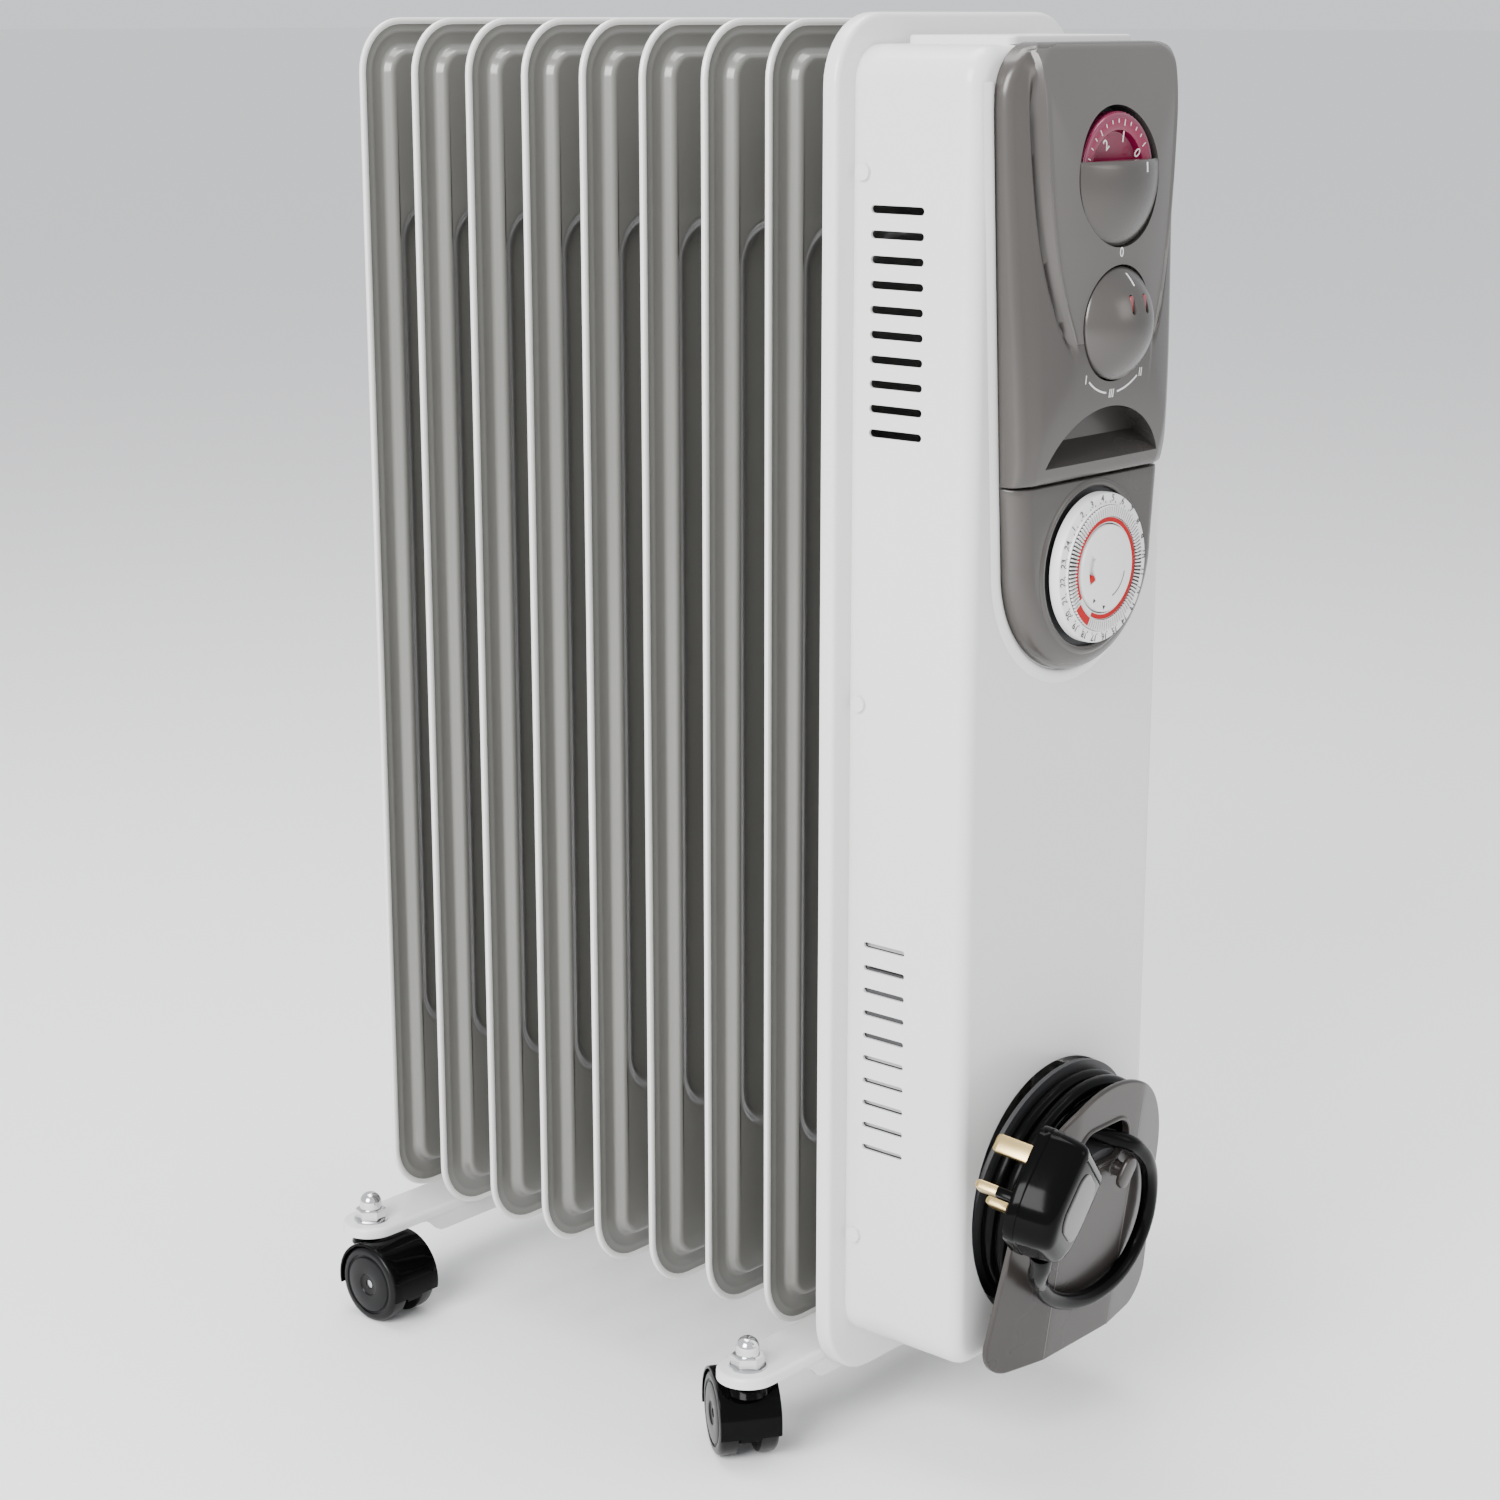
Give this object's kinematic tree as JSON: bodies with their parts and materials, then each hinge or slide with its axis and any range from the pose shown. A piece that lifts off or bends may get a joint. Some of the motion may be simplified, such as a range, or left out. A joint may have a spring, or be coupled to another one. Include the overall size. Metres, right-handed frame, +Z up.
{
  "type": "oil filled radiator heater",
  "caption": "Oil filled column heater on twin-wheel casters, with a control housing, dials, a mechanical timer and a cord store with its plug.",
  "frame": {"origin": "on the floor, under the middle of the heater without its cord and plug", "axes": "+Z up from the floor, -Y out of the control face toward the person using it, +X to the right of that person"},
  "size_m": [0.2572, 0.4149, 0.6255],
  "materials": {
    "fin_enamel": "satin stoved enamel, warm light grey",
    "housing_enamel": "satin stoved enamel, off-white",
    "panel_plastic": "satin moulded plastic, warm grey",
    "dial_plastic": "magenta gloss moulding",
    "lens_plastic": "pink translucent lens",
    "white_plastic": "white moulding, printed",
    "red_plastic": "red moulding",
    "inner_plastic": "dark moulding inside the housing",
    "terminal_ceramic": "ivory moulding",
    "black_plastic": "satin black moulding",
    "cord_pvc": "satin black flexible PVC",
    "pin_brass": "bright",
    "bright_plate": "nickel plated",
    "zinc_steel": "bright zinc plate"
  },
  "bodies": {
    "heater": {"fin_1": "fin_enamel", "fin_2": "fin_enamel", "fin_3": "fin_enamel", "fin_4": "fin_enamel", "fin_5": "fin_enamel", "fin_6": "fin_enamel", "fin_7": "fin_enamel", "fin_8": "fin_enamel", "fin_9": "fin_enamel", "collars_upper": "fin_enamel", "collars_lower": "fin_enamel", "heating_element": "zinc_steel", "element_flange": "zinc_steel", "end_frame": "housing_enamel", "control_housing": "housing_enamel", "control_panel": "panel_plastic", "timer_panel": "panel_plastic", "top_plate": "housing_enamel", "thermostat_cover": "panel_plastic", "thermostat_switch": "inner_plastic", "selector_switch": "inner_plastic", "timer_centre": "white_plastic", "timer_body": "inner_plastic", "tip_switch": "inner_plastic", "thermal_cutout": "terminal_ceramic", "terminal_block": "terminal_ceramic", "cord_plate": "panel_plastic", "cord_spool": "inner_plastic", "cord_clip": "panel_plastic", "cord_gland": "cord_pvc", "cord_lead": "cord_pvc", "cord_coil": "cord_pvc", "plug_body": "black_plastic", "plug_pins": "pin_brass", "plug_label": "panel_plastic", "foot_bar_front": "housing_enamel", "foot_bar_rear": "housing_enamel", "u_bolts": "zinc_steel", "wing_nuts": "zinc_steel", "acorn_nuts": "bright_plate", "caster_stems": "zinc_steel", "housing_screws": "zinc_steel"},
    "thermostat": {"thermostat_dial": "dial_plastic"},
    "selector": {"selector_knob": "panel_plastic", "indicator_lenses": "lens_plastic"},
    "timer_disc": {"timer_ring": "white_plastic", "timer_tappets": "white_plastic"},
    "timer_slider": {"timer_override": "red_plastic"},
    "caster_1": {"caster_1_hood": "black_plastic", "caster_1_axle": "zinc_steel"},
    "caster_1_roll": {"caster_1_wheels": "black_plastic"},
    "caster_2": {"caster_2_hood": "black_plastic", "caster_2_axle": "zinc_steel"},
    "caster_2_roll": {"caster_2_wheels": "black_plastic"},
    "caster_3": {"caster_3_hood": "black_plastic", "caster_3_axle": "zinc_steel"},
    "caster_3_roll": {"caster_3_wheels": "black_plastic"},
    "caster_4": {"caster_4_hood": "black_plastic", "caster_4_axle": "zinc_steel"},
    "caster_4_roll": {"caster_4_wheels": "black_plastic"}
  },
  "joints": [
    {"name": "thermostat_turn", "type": "hinge", "parent": "heater", "child": "thermostat", "pos_m": [0, -0.1745, 0.561], "axis": [0, 1, 0], "range_deg": [0, 276]},
    {"name": "selector_turn", "type": "hinge", "parent": "heater", "child": "selector", "pos_m": [0, -0.1805, 0.502], "axis": [0, 1, 0], "range_deg": [0, 225]},
    {"name": "timer_turn", "type": "hinge", "parent": "heater", "child": "timer_disc", "pos_m": [0, -0.1745, 0.4], "axis": [0, -1, 0], "continuous": true},
    {"name": "timer_override_slide", "type": "hinge", "parent": "heater", "child": "timer_slider", "pos_m": [0, -0.1775, 0.4], "axis": [0, 1, 0], "range_deg": [0, 40]},
    {"name": "caster_1_swivel", "type": "hinge", "parent": "heater", "child": "caster_1", "pos_m": [-0.112, -0.0768, 0.035], "axis": [0, 0, 1], "continuous": true},
    {"name": "caster_1_spin", "type": "hinge", "parent": "caster_1", "child": "caster_1_roll", "pos_m": [-0.10495, -0.06709, 0.019], "axis": [0.809, -0.5878, 0], "continuous": true},
    {"name": "caster_2_swivel", "type": "hinge", "parent": "heater", "child": "caster_2", "pos_m": [0.112, -0.0768, 0.035], "axis": [0, 0, 1], "continuous": true},
    {"name": "caster_2_spin", "type": "hinge", "parent": "caster_2", "child": "caster_2_roll", "pos_m": [0.10495, -0.06709, 0.019], "axis": [0.809, 0.5878, 0], "continuous": true},
    {"name": "caster_3_swivel", "type": "hinge", "parent": "heater", "child": "caster_3", "pos_m": [-0.112, 0.171, 0.035], "axis": [0, 0, 1], "continuous": true},
    {"name": "caster_3_spin", "type": "hinge", "parent": "caster_3", "child": "caster_3_roll", "pos_m": [-0.112, 0.159, 0.019], "axis": [-1, 0, 0], "continuous": true},
    {"name": "caster_4_swivel", "type": "hinge", "parent": "heater", "child": "caster_4", "pos_m": [0.112, 0.171, 0.035], "axis": [0, 0, 1], "continuous": true},
    {"name": "caster_4_spin", "type": "hinge", "parent": "caster_4", "child": "caster_4_roll", "pos_m": [0.112, 0.159, 0.019], "axis": [-1, 0, 0], "continuous": true}
  ]
}
